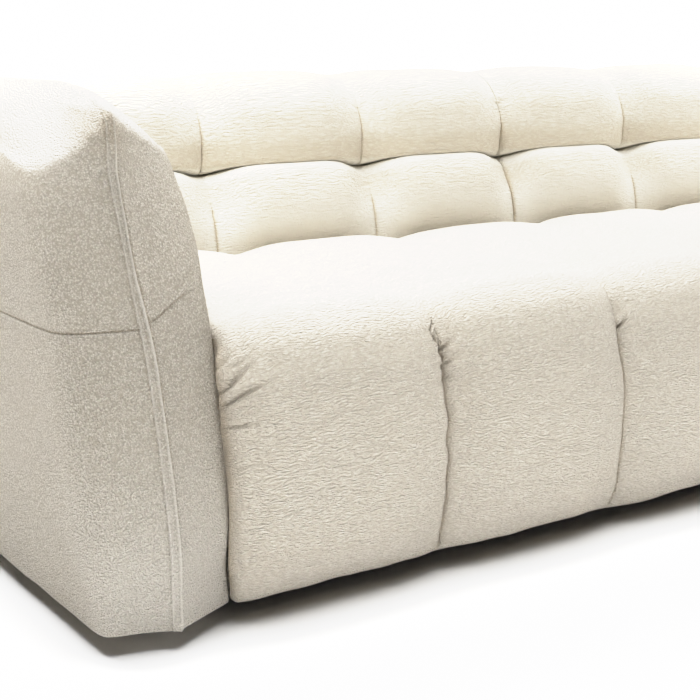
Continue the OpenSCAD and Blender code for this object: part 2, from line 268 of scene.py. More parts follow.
def boucle(name, light, dark, warm, slub, depth=0.0016, ridge=(0.98, 0.915, 0.81), grain=(400, 0.30)):
    """Looped wool cloth. slub 1 is the long level slubs of the seat, 0 the round curls of the arm."""
    m, nt, p = new_material(name)
    base = coords(nt)
    # the rows wander a little
    wander = nt.nodes.new("ShaderNodeTexNoise")
    wander.inputs["Scale"].default_value = 46.0 if slub else 90.0
    wander.inputs["Detail"].default_value = 1.0
    nt.links.new(base, wander.inputs["Vector"])
    shift = nt.nodes.new("ShaderNodeVectorMath")
    shift.operation = "MULTIPLY_ADD"
    shift.inputs[1].default_value = (0.008, 0.008, 0.008) if slub else (0.003, 0.003, 0.003)
    nt.links.new(wander.outputs["Color"], shift.inputs[0])
    nt.links.new(base, shift.inputs[2])

    def cells(scale, stretch, seed):
        mp = nt.nodes.new("ShaderNodeMapping")
        mp.inputs["Scale"].default_value = stretch
        mp.inputs["Location"].default_value = (seed, seed * 0.7, seed * 1.3)
        nt.links.new(shift.outputs[0], mp.inputs["Vector"])
        v = nt.nodes.new("ShaderNodeTexVoronoi")
        v.feature = "F1"
        v.inputs["Scale"].default_value = scale
        nt.links.new(mp.outputs["Vector"], v.inputs["Vector"])
        tone = nt.nodes.new("ShaderNodeSeparateColor")
        nt.links.new(v.outputs["Color"], tone.inputs["Color"])
        return v.outputs["Distance"], tone.outputs["Red"]

    if slub:
        d1, r1 = cells(grain[0], (grain[1], 1.0, 1.0), 0.0)
        d2, r2 = cells(700, (0.45, 1.0, 1.0), 3.1)
    else:
        d1, r1 = cells(365, (1.0, 1.0, 1.0), 0.0)
        d2, r2 = cells(720, (1.0, 1.0, 1.0), 3.1)
    # rounded loops of unequal height with sharp valleys between them
    one = mathn(nt, "SUBTRACT", 1.0, mathn(nt, "POWER", d1, 1.6))
    one = mathn(nt, "MULTIPLY", one, remap(nt, r1, 0, 1, 0.62, 1.0))
    two = mathn(nt, "SUBTRACT", 1.0, mathn(nt, "POWER", d2, 1.6))
    two = mathn(nt, "MULTIPLY", two, remap(nt, r2, 0, 1, 0.5, 1.0))
    fuzz = noise(nt, base, 1300, 1.5, 0.6)
    h = mathn(nt, "ADD", one, mathn(nt, "MULTIPLY", two, 0.45))
    h = mathn(nt, "ADD", h, mathn(nt, "MULTIPLY", fuzz, 0.30))
    # colour follows the loop height: darker in the valleys, partly the yarn's uneven tone and partly painted shade
    # between the loops
    shade = remap(nt, h, 0.75, 1.35)
    col = mixc(nt, shade, dark, light)
    wide = noise(nt, base, 5.5, 3, 0.5)
    col = mixc(nt, remap(nt, wide, 0.3, 0.7, 0.0, 0.10), col, warm)
    # painted shade: where the per-point attribute is above zero, in seams, folds and hollows, the colour is multiplied
    # towards the warm tone
    at = nt.nodes.new("ShaderNodeAttribute")
    at.attribute_name = "painted_shade_and_light"
    col = mixc(nt, mathn(nt, "MULTIPLY", at.outputs["Fac"], 0.55, True), col, warm, "MULTIPLY")
    # painted highlight: where the attribute is below zero, on seam ridges and faces turned to the light, the colour is
    # mixed towards the pale ridge colour
    col = mixc(nt, mathn(nt, "MULTIPLY", at.outputs["Fac"], -0.80, True), col, ridge)
    nt.links.new(col, p.inputs["Base Color"])
    nt.links.new(remap(nt, fuzz, 0.3, 0.7, 0.86, 0.98), p.inputs["Roughness"])
    p.inputs["Sheen Weight"].default_value = 0.2
    p.inputs["Sheen Roughness"].default_value = 0.45
    p.inputs["Specular IOR Level"].default_value = 0.15
    nt.links.new(bump(nt, h, 1.0, depth), p.inputs["Normal"])
    return m


# WARM serves as a random warm tint of the yarn and as the colour of painted shade; the ridge colours are painted
# highlights. The seat, back and arm copies are one cream bouclé: the paler back and darker seat are painted light and
# shade, set for how brightly each part is lit, and their grain and loop depth differ too.
CREAM_L, CREAM_D, WARM = (0.835, 0.780, 0.675), (0.64, 0.572, 0.468), (0.82, 0.70, 0.54)
M_SEAT = boucle("boucle_seat", (0.775, 0.722, 0.620), (0.575, 0.512, 0.415), WARM, 1, depth=0.0046)
M_BACK = boucle("boucle_back", (0.900, 0.862, 0.750), (0.75, 0.693, 0.570), WARM, 1, depth=0.0030, ridge=(0.99, 0.950, 0.840),
                grain=(290, 0.13))
M_ARM = boucle("boucle_arm", (0.970, 0.910, 0.800), (0.55, 0.479, 0.374), WARM, 0, depth=0.0082)
M_OUT = boucle("boucle_outside", (0.970, 0.910, 0.800), (0.55, 0.479, 0.374), WARM, 0, depth=0.0082)


def timber_material():
    m, nt, p = new_material("timber")
    v = coords(nt, (1.0, 14.0, 14.0))
    grain = noise(nt, v, 22, 6, 0.62, 1.4)
    pore = noise(nt, coords(nt, (2.0, 60.0, 60.0)), 40, 2, 0.5)
    col = ramp(nt, grain, [(0.30, (0.42, 0.27, 0.14)), (0.52, (0.60, 0.42, 0.24)), (0.72, (0.70, 0.53, 0.33))])
    col = mixc(nt, remap(nt, pore, 0.55, 0.75, 0.0, 0.35), col, (0.30, 0.18, 0.09))
    nt.links.new(col, p.inputs["Base Color"])
    nt.links.new(remap(nt, grain, 0.3, 0.7, 0.55, 0.75), p.inputs["Roughness"])
    nt.links.new(bump(nt, grain, 0.35, 0.0008), p.inputs["Normal"])
    return m


def board_material():
    m, nt, p = new_material("fibreboard")
    v = coords(nt)
    f = noise(nt, v, 260, 5, 0.7, 0.5)
    col = ramp(nt, f, [(0.3, (0.27, 0.17, 0.10)), (0.55, (0.40, 0.27, 0.17)), (0.75, (0.52, 0.38, 0.25))])
    nt.links.new(col, p.inputs["Base Color"])
    nt.links.new(remap(nt, f, 0.3, 0.7, 0.6, 0.8), p.inputs["Roughness"])
    nt.links.new(bump(nt, f, 0.3, 0.0004), p.inputs["Normal"])
    return m


def steel_material(name, a, b, rough):
    m, nt, p = new_material(name)
    v = coords(nt)
    f = noise(nt, v, 70, 4, 0.6)
    g = noise(nt, v, 900, 2, 0.5)
    nt.links.new(mixc(nt, remap(nt, f, 0.35, 0.65), a, b), p.inputs["Base Color"])
    p.inputs["Metallic"].default_value = 1.0
    nt.links.new(remap(nt, f, 0.3, 0.7, rough - 0.08, rough + 0.12), p.inputs["Roughness"])
    nt.links.new(bump(nt, g, 0.15, 0.0002), p.inputs["Normal"])
    return m


def woven_material(name, a, b, count, strength=0.6, distance=0.0005):
    """A plain weave: crossing ribs in two directions."""
    m, nt, p = new_material(name)
    v = coords(nt)
    ribs = []
    for axis in ("X", "Z"):
        w = nt.nodes.new("ShaderNodeTexWave")
        w.wave_type = "BANDS"
        w.bands_direction = axis
        w.inputs["Scale"].default_value = count
        w.inputs["Distortion"].default_value = 0.6
        nt.links.new(v, w.inputs["Vector"])
        ribs.append(w.outputs["Fac"])
    h = mathn(nt, "MULTIPLY", ribs[0], ribs[1])
    f = noise(nt, v, 500, 2, 0.5)
    h = mathn(nt, "ADD", h, mathn(nt, "MULTIPLY", f, 0.4))
    nt.links.new(mixc(nt, h, a, b), p.inputs["Base Color"])
    p.inputs["Roughness"].default_value = 0.85
    p.inputs["Sheen Weight"].default_value = 0.15
    nt.links.new(bump(nt, h, strength, distance), p.inputs["Normal"])
    return m


def felt_material():
    m, nt, p = new_material("felt")
    v = coords(nt)
    f = noise(nt, v, 420, 6, 0.75, 1.5)
    g = noise(nt, v, 40, 3, 0.5)
    col = ramp(nt, f, [(0.3, (0.16, 0.17, 0.19)), (0.55, (0.30, 0.31, 0.33)), (0.75, (0.52, 0.52, 0.53))])
    nt.links.new(mixc(nt, remap(nt, g, 0.4, 0.7, 0.0, 0.4), col, (0.24, 0.26, 0.30)), p.inputs["Base Color"])
    p.inputs["Roughness"].default_value = 0.95
    p.inputs["Sheen Weight"].default_value = 0.3
    nt.links.new(bump(nt, f, 0.7, 0.0008), p.inputs["Normal"])
    return m


def foam_material():
    m, nt, p = new_material("foam")
    v = coords(nt)
    c = voronoi(nt, v, 700, "F1")
    f = noise(nt, v, 12, 3, 0.5)
    col = mixc(nt, remap(nt, c, 0.1, 0.6), (0.62, 0.52, 0.28), (0.86, 0.78, 0.52))
    col = mixc(nt, remap(nt, f, 0.4, 0.7, 0.0, 0.3), col, (0.80, 0.66, 0.36))
    nt.links.new(col, p.inputs["Base Color"])
    p.inputs["Roughness"].default_value = 0.9
    nt.links.new(bump(nt, c, 0.6, 0.0008), p.inputs["Normal"])
    return m


def plastic_material():
    m, nt, p = new_material("foot_plastic")
    v = coords(nt)
    f = noise(nt, v, 900, 3, 0.6)
    g = noise(nt, v, 30, 3, 0.5)
    nt.links.new(mixc(nt, remap(nt, g, 0.3, 0.7), (0.012, 0.012, 0.013), (0.03, 0.03, 0.032)), p.inputs["Base Color"])
    nt.links.new(remap(nt, g, 0.3, 0.7, 0.42, 0.6), p.inputs["Roughness"])
    nt.links.new(bump(nt, f, 0.25, 0.0003), p.inputs["Normal"])
    return m


MATS = {
    "timber": timber_material(),
    "fibreboard": board_material(),
    "spring_steel": steel_material("spring_steel", (0.36, 0.37, 0.39), (0.50, 0.51, 0.53), 0.35),
    "zinc_steel": steel_material("zinc_steel", (0.55, 0.56, 0.58), (0.70, 0.70, 0.68), 0.30),
    "elastic_webbing": woven_material("elastic_webbing", (0.018, 0.018, 0.02), (0.09, 0.09, 0.095), 320, 0.8, 0.0007),
    "felt": felt_material(),
    "foam": foam_material(),
    "dust_cloth": woven_material("dust_cloth", (0.010, 0.010, 0.011), (0.035, 0.035, 0.037), 500, 0.5, 0.0003),
    "lining": woven_material("lining", (0.58, 0.53, 0.45), (0.78, 0.74, 0.66), 420, 0.6, 0.0004),
    "twine": woven_material("twine", (0.30, 0.24, 0.16), (0.55, 0.47, 0.34), 900, 0.7, 0.0003),
    "foot_plastic": plastic_material(),
}

# --------------------------------------------------------------- channel pads

MM = 0.001
SEAT_SEAM = [(-428, 42), (-438, 32), (-448, 29), (-457, 36), (-475, 74), (-482, 130), (-486, 205), (-485, 252),
             (-473, 305), (-452, 372), (-434, 404), (-400, 424), (-330, 432), (-120, 434), (70, 431), (150, 425),
             (195, 416), (214, 398), (222, 370), (224, 335)]
SEAT_MID = [(-428, 42), (-440, 31), (-455, 28), (-468, 36), (-489, 74), (-502, 130), (-509, 205), (-509, 252),
            (-503, 305), (-486, 372), (-464, 410), (-422, 437), (-340, 447), (-120, 449), (80, 447), (160, 441),
            (203, 427), (221, 402), (225, 370), (225, 335)]
LOW_SEAM = [(229, 300), (230, 345), (230, 385), (231, 412), (235, 445), (242, 478), (251, 502), (260, 520),
            (270, 538), (279, 550), (290, 556.5), (308, 558.6), (334, 557.8)]
LOW_MID = [(229, 300), (229, 345), (227, 385), (221, 412), (211, 445), (206, 482), (209, 518), (218, 545),
           (232, 567), (246, 578.0), (255, 580.9), (280, 577.6), (334, 560.6)]
UP_SEAM = [(345, 557.7), (332, 558.8), (317, 560.2), (300, 564), (289, 577), (286, 608), (287, 642), (303, 682), (326, 713),
           (358, 735), (395, 744), (432, 741), (466, 724), (490, 706), (500, 694), (499, 688), (492, 689)]
UP_MID = [(345, 558.2), (322, 566.0), (296, 574.2), (270, 580.6), (253.5, 582.2), (250.5, 603), (252, 650), (262, 691), (287, 724),
          (330, 746), (382, 753), (432, 749), (470, 731), (496, 708), (505, 693), (502, 686), (493, 688)]


# how far the plump inner side stands proud, by height
BULGE_Z = (0.03, 0.05, 0.08, 0.11, 0.14, 0.17, 0.22, 0.277, 0.32, 0.35, 0.38, 0.41, 0.45, 0.48, 0.60, 0.69, 0.74)
BULGE = (0.0063, 0.0046, 0.0, -0.0013, 0.0010, 0.0053, 0.0096, 0.0125, 0.0110, 0.0108, 0.0096, 0.0086, 0.0078, 0.0105,
         0.0105, 0.0, 0.0)


def inner_bulge(z):
    """Smoothed reading of the table above."""
    z = np.asarray(z, float)
    return sum(np.interp(z + o, BULGE_Z, BULGE) * w for o, w in ((-0.02, 0.2), (-0.01, 0.2), (0, 0.2), (0.01, 0.2), (0.02, 0.2)))


def edge_stations(width, step, near):
    """Distances from one edge of a channel, close together near the edges."""
    near = np.asarray(near)
    n = int(math.ceil((width - 2 * near[-1]) / step))
    mid = np.linspace(near[-1], width - near[-1], n + 1)[1:-1]
    return np.concatenate([near, mid, (width - near)[::-1]])


def profile_param(points, step):
    """Evenly spaced places along a profile."""
    knots = chord(np.asarray(points, float) * MM)
    n = int(round(knots[-1] / step))
    return knots, np.linspace(0, knots[-1], n + 1)


def fold(d, s, at, tilt, length, width, depth, bend=0.0, off=0.0, start=-0.004):
    """A tapering valley between two soft ridges. d is the distance from the seam, s along it."""
    c, q = math.cos(math.radians(tilt)), math.sin(math.radians(tilt))
    a = (d - off) * c + (s - at) * q
    b = -(d - off) * q + (s - at) * c - bend * a * a
    fade = smooth(start, start + 0.008, a) * (1 - smooth(length * 0.35, length, a))
    w = width * (0.75 + 0.7 * np.clip(a / length, 0, 1))
    return depth * fade * (-np.exp(-(b / w) ** 2) + 0.55 * np.exp(-((b - 1.7 * w) / (1.1 * w)) ** 2)
                           + 0.4 * np.exp(-((b + 1.7 * w) / (1.1 * w)) ** 2))


def roll(d, r):
    """How far a rounded edge of radius r falls at distance d from the seam."""
    t = np.clip(1 - d / np.maximum(r, 1e-6), 0, 1)
    return r * (1 - np.sqrt(np.maximum(0, 1 - t * t)))


STEP = 0.0042
NEAR = np.array([0, 0.3, 0.8, 1.6, 2.7, 4.1, 5.8, 7.8, 10.2, 13.0, 16.3, 20.1, 24.2]) * MM


def channel(name, k, seam, mid, inner, power, row, material, node_name):
    """One sewn channel: a closed form, crowned between its seams, its edges rolled into them."""
    x0 = -L + k * PITCH + 0.00005
    x1 = -L + (k + 1) * PITCH - 0.00005
    if k == 3:
        x0 += 0.0009
    if k == 2:
        x1 -= 0.0009
    seam, mid = np.asarray(seam, float) * MM, np.asarray(mid, float) * MM
    knots, t = profile_param(mid / MM, STEP)
    if row == "seat":
        t = np.concatenate([t[t < 0.299], np.arange(0.300, 0.4275, 0.0022), t[t > 0.4285]])
    near_seam = np.concatenate([NEAR, NEAR[-1] + np.arange(1, 15) * 0.0026]) if row == "seat" else NEAR
    B = spline_rows(knots, t)
    S, M = B @ seam, B @ mid
    d0 = edge_stations(x1 - x0, STEP * 1.15, near_seam)
    x = x0 + d0
    s = (x - (x0 + x1) / 2) / ((x1 - x0) / 2)
    pw = np.full(len(x), power)
    if row == "seat" and k in (0, 5):
        pw[s < 0 if k == 0 else s > 0] = 6.0      # fuller against the arm
    crown = (1 - np.abs(s) ** pw)[:, None] * np.ones((1, len(t)))
    flat = smooth(0, 1, crown)
    # where the seam runs out, the channels meet in a soft valley
    gap = np.minimum(x - x0, x1 - x)[:, None]
    lo_t, hi_t, wide = {"seat": (0.430, 0.560, 0.060), "low": (0.060, 0.300, 0.060), "up": (0.120, 0.300, 0.060)}[row]
    soft = smooth(lo_t, hi_t, t)[None]
    crown = crown * (1 - soft) + (1 - np.exp(-(gap / wide) ** 1.8)) * soft
    crown = crown[..., None]
    yz = S[None] * (1 - crown) + M[None] * crown
    Y, Z = yz[..., 0], yz[..., 1]
    X = np.repeat(x[:, None], len(t), 1)
    tan = np.gradient(yz, t, axis=1)
    tan /= np.linalg.norm(tan, axis=2, keepdims=True)
    NY, NZ = -tan[..., 1], tan[..., 0]            # outward, for a profile that climbs the front
    dl, dr = (x - x0)[:, None], (x1 - x)[:, None]
    T = t[None, :]
    out = np.zeros_like(Y)
    dark = np.zeros_like(Y)
    seed = {"seat": 11, "low": 23, "up": 37}[row] + 7 * k
    total = t[-1]
    # slow unevenness of the filling, none where the rows touch
    near = {"seat": np.ones_like(T), "low": 1 - smooth(total - 0.135, total - 0.095, T), "up": smooth(0.095, 0.150, T)}[row]
    out += 0.0022 * noise3(X / 0.16, Y / 0.16, Z / 0.16, seed) * flat * near
    out += 0.0009 * noise3(X / 0.055, Y / 0.055, Z / 0.055, seed + 1) * flat * near
    xw = np.zeros_like(Y)
    deep = np.zeros_like(Y)
    for side, d in ((-1, dl), (1, dr)):
        seam_no = k if side < 0 else k + 1        # 0 and 6 are the arms, 3 the modules' joint
        m = min(seam_no, 6 - seam_no)             # the same on both halves
        outward = (side > 0) == (seam_no <= 3)    # the side of the seam nearer to the arm
        sd = 100 * seam_no + {"seat": 1, "low": 2, "up": 3}[row]
        wob = 0.0
        if row == "seat":
            top = {0: 0.470, 1: 0.378, 2: 0.350, 3: 0.400}[m]
            line = smooth(0.030, 0.075, T) * (1 - smooth(top - 0.012, top + 0.040, T))
            r = {0: 0.013, 1: 0.0100, 2: 0.0060, 3: 0.017}[m] * (0.02 + 0.98 * line) + (0.012 * (1 - line) if m == 0 else 0)
            gather = {0: 0.0016, 1: 0.0022, 2: 0.0008, 3: 0.0012}[m]
            where = np.exp(-((T - 0.345) / 0.035) ** 2) + 0.22 * line
            wob = {0: 0.0, 1: 0.0030, 2: 0.0016, 3: 0.0}[m]
            wave = 0.0105
        elif row == "low":
            line = 1 - smooth(0.205, 0.240, T)
            if m == 3:
                r = 0.0045 + 0.0065 * smooth(0.19, 0.27, T)
                line = np.ones_like(T)
            else:
                r = {0: 0.012, 1: 0.0030, 2: 0.0026}[m] * (0.05 + 0.95 * line)
            gather = 0.0008
            where = 0.35 * line + 0.65 * smooth(total - 0.09, total - 0.03, T)
            wave = 0.015
        else:
            line = 1 - smooth(0.165, 0.225, T)
            if m == 3:
                r = (0.011 if side > 0 else 0.020) * (0.08 + 0.92 * (1 - smooth(0.070, 0.175, T))) * (0.40 + 0.60 * smooth(0.06, 0.11, T))
                line = 1 - smooth(0.150, 0.195, T)
            else:
                r = {0: 0.012, 1: 0.0042, 2: 0.0038}[m] * (0.05 + 0.95 * line) * (1 + 0.7 * (1 - smooth(0.03, 0.08, T)))
            gather = {0: 0.0008, 1: 0.0010, 2: 0.0010, 3: 0.0014}[m]
            where = 0.3 * line + 0.6 * np.exp(-((T - 0.205) / 0.020) ** 2) * (m > 1) + 0.5 * (1 - smooth(0.02, 0.06, T))
            wave = 0.014
        out -= roll(d, r)
        reach = 0.014 if row == "seat" else 0.010
        phase = 2 * math.pi * (T / wave + 0.55 * noise1(T / 0.031, sd + 5) + d * 14)
        rip = (0.5 + 0.5 * np.cos(phase)) ** 1.4 - 0.45
        rip = rip * (1 + 0.6 * noise1(T / 0.045, sd + 9))
        out += gather * where * rip * np.exp(-d / reach) * smooth(0, 0.0015, d)
        if row == "seat":
            xw += wob * noise1(T / 0.030, sd + 13) * np.exp(-d / 0.03) * line
            if m == 1:
                # a puckered stretch zigzags
                xw += 0.0030 * noise1(T / 0.0085, sd + 17) * np.exp(-d / 0.012) * np.exp(-((T - 0.358) / 0.032) ** 2)
        if m == 0:
            # the plump arm presses in a little
            push = np.maximum(0, inner_bulge(Z)) * (1.0 if row == "seat" else 0.35)
            # in front of the arm's rounded corner the pad swells sideways instead
            swell = smooth(0.05, 0.12, T) * (1 - smooth(0.385, 0.455, T)) * (row == "seat")
            xw -= side * push * (1 - smooth(0.0, 0.060, d)) * (1 - swell)
            xw += side * 0.0070 * swell * np.exp(-(d / 0.020) ** 2)
        # painted shade in each seam's groove
        dark = np.maximum(dark, np.exp(-d / (np.maximum(0.22 * r, 0.0018) if row == "seat" else np.maximum(0.55 * r, 0.0022))) * 0.9 * line)
        folds, pits = [], []
        if row == "seat" and m == 1:
            pits = [(0.377, 0.0036, 0.0040), (0.350, 0.0028, 0.0028), (0.336, 0.0040, 0.0048)]
            if outward:
                folds = [(0.377, 66, 0.044, 0.0030, 0.0075, 0), (0.412, 138, 0.034, 0.0028, 0.0055, 0, 0.014),
                         (0.352, 12, 0.018, 0.0028, 0.0032, 0), (0.333, -14, 0.020, 0.0030, 0.0030, 0)]
            else:
                folds = [(0.376, 40, 0.030, 0.0040, 0.0060, 0), (0.350, 46, 0.027, 0.0038, 0.0056, 0),
                         (0.332, 24, 0.018, 0.0032, 0.0030, 0)]
        elif row == "seat" and m == 2:
            pits = [(0.347, 0.0030, 0.0030)]
            if not outward:
                folds = [(0.367, 40, 0.028, 0.0030, 0.0070, 0), (0.338, 18, 0.018, 0.0030, 0.0020, 0)]
        elif row == "seat" and m == 3:
            folds = [(0.36, 30, 0.040, 0.0045, 0.0036, 0), (0.40, 48, 0.045, 0.0045, 0.0042, 0)]
        elif row == "seat" and m == 0:
            folds = [(0.398, 66, 0.032, 0.0038, 0.0036, 0), (0.362, 59, 0.060, 0.0038, 0.0044, -2),
                     (0.346, 50, 0.068, 0.0040, 0.0046, -6), (0.317, 14, 0.050, 0.0038, 0.0024, 0),
                     (0.400, 40, 0.026, 0.0032, 0.0020, 0, 0.012), (0.262, 8, 0.034, 0.0040, 0.0014, 0)]
        elif row == "up":
            base = {0: 0.5, 1: 0.5, 2: 1.0, 3: 1.6}[m]
            folds = [(0.200, 22, 0.024, 0.0036, 0.0015 * base, 0), (0.212, -14, 0.020, 0.0034, 0.0013 * base, 0),
                     (0.055, -38, 0.034, 0.0050, 0.0022, 0)]
            pits = [(0.030, 0.0060, 0.0040)]
        elif m:
            folds = [(total - 0.075, 40, 0.026, 0.0045, 0.0012, 0)]
        for f in folds:
            dent = fold(d, T, *f)
            if row == "seat" and m == 0:
                deep += 1.15 * dent * (0.6 + 0.4 * smooth(0.0, 0.006, d))
            else:
                out += dent
            # painted shade in the folds
            dark = np.maximum(dark, np.clip(-dent / 0.004, 0, 1) * 0.25)
        for at, size, depth in pits:
            dent = depth * np.exp(-(d / (size * 1.3)) ** 2 - ((T - at) / size) ** 2)
            out -= dent
            # painted shade in the pits
            dark = np.maximum(dark, dent / depth * 0.9)
    if row == "up":
        # painted shade: a warm band on the upper channel just above the fold between the rows; painted light: paler
        # inside that fold
        dark = dark * (1 - 0.8 * (1 - smooth(0.094, 0.130, T)))
        dark = np.maximum(dark, 0.38 * smooth(0.090, 0.102, T) * (1 - smooth(0.110, 0.152, T)))
        dark = dark - 0.9 * (1 - smooth(0.086, 0.098, T)) * (1 - np.clip(dark * 2, 0, 1))
    if row == "low":
        # painted light: in the fold under the upper row the seam shade fades and the cloth is paler
        dark = dark * (1 - 0.8 * smooth(total - 0.130, total - 0.098, T))
        dark = dark - 0.8 * smooth(total - 0.110, total - 0.092, T) * (1 - np.clip(dark * 2, 0, 1))
        # painted light: paler towards the bottom behind the seat, where the cloth lies in shade
        dark = dark - 1.2 * (1 - smooth(0.17, 0.255, T)) * (1 - np.clip(dark * 2.5, 0, 1))
    if row == "seat":
        # the lower edge waves a little where the cloth is turned under
        hem = 1 - smooth(0.03, 0.10, T)
        # painted highlight: the seat's top is paler
        dark = dark - 0.45 * smooth(0.400, 0.520, T)
        Z += hem * 0.0015 * noise1(X / 0.07, 5)
        out += hem * 0.0012 * noise1(X / 0.045, 6)
    Y = Y + out * NY
    Z = Z + out * NZ
    X = X + xw
    ring = np.stack([X, Y, Z], -1)
    if deep.any():
        # the folds at the arm are pressed in square to the rounded surface
        across, along = np.gradient(ring, axis=0), np.gradient(ring, axis=1)
        nrm = np.cross(along, across)
        nrm /= np.maximum(np.linalg.norm(nrm, axis=2, keepdims=True), 1e-12)
        nrm *= np.sign(np.sum(nrm[..., 1] * NY + nrm[..., 2] * NZ))
        ring += deep[..., None] * nrm
    inner = np.asarray(inner, float) * MM
    closing = np.zeros((len(x), len(inner), 3))
    closing[..., 0] = x[:, None]
    if k in (0, 5):
        # the hidden end stays clear of the plump arm too
        d_arm = d0 if k == 0 else (x1 - x0) - d0
        closing[..., 0] += (1 if k == 0 else -1) * 0.0135 * (1 - smooth(0.0, 0.060, d_arm))[:, None]
    closing[..., 1:] = inner[None]
    ring = np.concatenate([ring, closing], 1)
    n = ring.shape[1]
    verts = ring.reshape(-1, 3)
    cr = np.concatenate([dark, np.zeros((len(x), len(inner)))], 1)
    ob = make(name, verts, loft_faces(len(x), n, flip=True), material, cr)
    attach(ob, "root")
    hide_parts(node_name)
    return ob


for k in range(6):
    channel(f"seat_channel_{k + 1}", k, SEAT_SEAM, SEAT_MID, [(180, 332), (-405, 332), (-405, 60)], 3.4, "seat",
            M_SEAT, f"seat_pad_{k + 1}")
    channel(f"lower_back_channel_{k + 1}", k, LOW_SEAM, LOW_MID, [(386, 553), (386, 300)], 2.4, "low",
            M_BACK, f"lower_back_pad_{k + 1}")
    channel(f"upper_back_channel_{k + 1}", k, UP_SEAM, UP_MID, [(480, 690), (400, 652)], 2.4, "up",
            M_BACK, f"upper_back_pad_{k + 1}")

# ----------------------------------------------------------------------- arms

FRONT_OUT = [(0.0, 0.0), (0.10, 3.2), (0.26, 8.0), (0.46, 13.5), (0.66, 21.0), (0.82, 30.0), (0.93, 43.0),
             (0.985, 60.0), (1.0, 86.0)]
FRONT_IN = [(0.0, 0.0), (0.10, 3.0), (0.26, 7.0), (0.46, 11.5), (0.66, 16.5), (0.82, 22.0), (0.93, 31.0),
            (0.985, 43.0), (1.0, 64.0)]
# drops of the same places at the lower edge
FOOT_OUT = [0.0, 6.5, 15.0, 21.5, 26.5, 31.0, 36.5, 46.0, 62.0]
FOOT_IN = [0.0, 6.5, 15.0, 25.0, 35.5, 43.5, 50.0, 54.0, 68.0]
TOP = 0.7625


def seam_y(z):
    """Where the arm's front seam stands at height z."""
    t = np.clip((z - 0.120) / 0.605, 0, None)
    return -0.500 + 0.173 * t ** 1.35


def rounding(t, p):
    t = np.clip(t, 0, 1)
    return (1 - t ** p) ** (1 / p)


def step01(a, b, v):
    v = min(1.0, max(0.0, (v - a) / (b - a)))
    return v * v * (3 - 2 * v)


def gable(a, side):
    """Height of the front's upper edge at a sideways distance a from the tip; outer side negative."""
    if side < 0:
        return 0.728 - float(np.interp(a, (0, 0.012, 0.036, 0.051, 0.077, 0.100, 0.14), (0, 0.016, 0.040, 0.052, 0.066, 0.074, 0.080)))
    return 0.728 - float(np.interp(a, (0, 0.012, 0.040, 0.070, 0.11, 0.14), (0, 0.009, 0.025, 0.042, 0.066, 0.080)))


def arm_controls(z):
    """Control points of the arm's outline at height z, in the left arm's own axes: x from the seam.

    The front is a pillow's pinched end: the outline grows pointed towards the tip. The rear is full.
    """
    full_o = (ARM_OUT - ARM_X) * (0.83 + 0.17 * math.sin(math.pi / 2 * min(1, max(0, (z - 0.03) / 0.17))))
    full_i = ARM_X - ARM_IN
    wo = full_o * rounding((z - TOP + 0.165) / 0.165, 2.05)
    wi = full_i * rounding((z - TOP + 0.130) / 0.130, 2.25)
    ro = full_o * rounding((z - TOP + 0.130) / 0.130, 2.3)
    ri = full_i * rounding((z - TOP + 0.065) / 0.065, 2.6)
    wi += float(inner_bulge(z))
    y0 = float(seam_y(z))

    def back_off(a, side):
        """Above the gable the surface turns over and climbs to the crest; how far back it is at z."""
        full, h, p = (full_o, 0.165, 2.05) if side < 0 else (full_i, 0.130, 2.25)
        crest = TOP - h + h * max(0.0, 1 - (a / full) ** p) ** (1 / p)
        edge = gable(a, side)
        room = crest - edge
        if room <= 0:
            return 0.0
        w = 0.0030
        u = (z - edge) / w
        v = w * (u if u > 30 else math.log1p(math.exp(u)))
        reach = (0.175 if side < 0 else 0.175 - 0.025 * step01(0, 0.06, a)) * step01(0, 0.035, room)
        return reach * (1 - math.sqrt(max(0.0, 1 - min(1.0, v / room))))
    y1 = 0.506 - (0.6 * (z - 0.700) if z > 0.700 else 0) - 3.2 * max(0, z - 0.745)
    k = min(1.0, wo / 0.080)
    point = 1 + 0.5 * step01(0.50, 0.735, z)
    foot = 1 - step01(0.03, 0.17, z)
    fo = [b * (1 - foot) + f * foot for (a, b), f in zip(FRONT_OUT, FOOT_OUT)]
    fi = [b * (1 - foot) + f * foot for (a, b), f in zip(FRONT_IN, FOOT_IN)]
    kf = k * point * MM
    pts = [(-a * wo, y0 + b * kf + back_off(a * wo, -1)) for (a, _), b in zip(FRONT_OUT, fo)]
    yo = pts[-1][1]
    yb = y1 - 0.085 * k
    pts += [(-(wo * (1 - q) + ro * q), yo * (1 - q) + yb * q) for q in (0.12, 0.35, 0.65, 0.88)]
    pts += [(-ro, yb), (-0.965 * ro, y1 - 0.038 * k), (-0.86 * ro, y1 - 0.012 * k), (-0.62 * ro, y1 - 0.001 * k),
            (-0.1 * ro, y1), (0.6 * ri, y1 - 0.0005), (0.88 * ri, y1 - 0.004 * k), (0.975 * ri, y1 - 0.014 * k),
            (ri, y1 - 0.035 * k)]
    ya = y1 - 0.035 * k
    yi = y0 + fi[-1] * kf + back_off(wi, 1)
    pts += [(ri * (1 - q) + wi * q, ya * (1 - q) + yi * q) for q in (0.12, 0.35, 0.65, 0.88)]
    pts += [(a * wi, y0 + b * kf + back_off(a * wi, 1)) for (a, _), b in list(zip(FRONT_IN, fi))[:0:-1]]
    pts = np.array(pts)
    # the seam stands a little to the inner side low down and at the tip
    side_step = float(np.interp(z, (0.03, 0.40, 0.50, 0.645, 0.70, 0.73), (0.0055, 0.0055, 0.0, 0.0, 0.0045, 0.0060)))
    by = np.abs(pts[:, 0]) / np.where(pts[:, 0] < 0, max(wo, 1e-4), max(wi, 1e-4))
    pts[:, 0] += side_step * k * np.clip(1 - by, 0, 1) ** 1.5 * (pts[:, 1] < 0)
    return pts, k


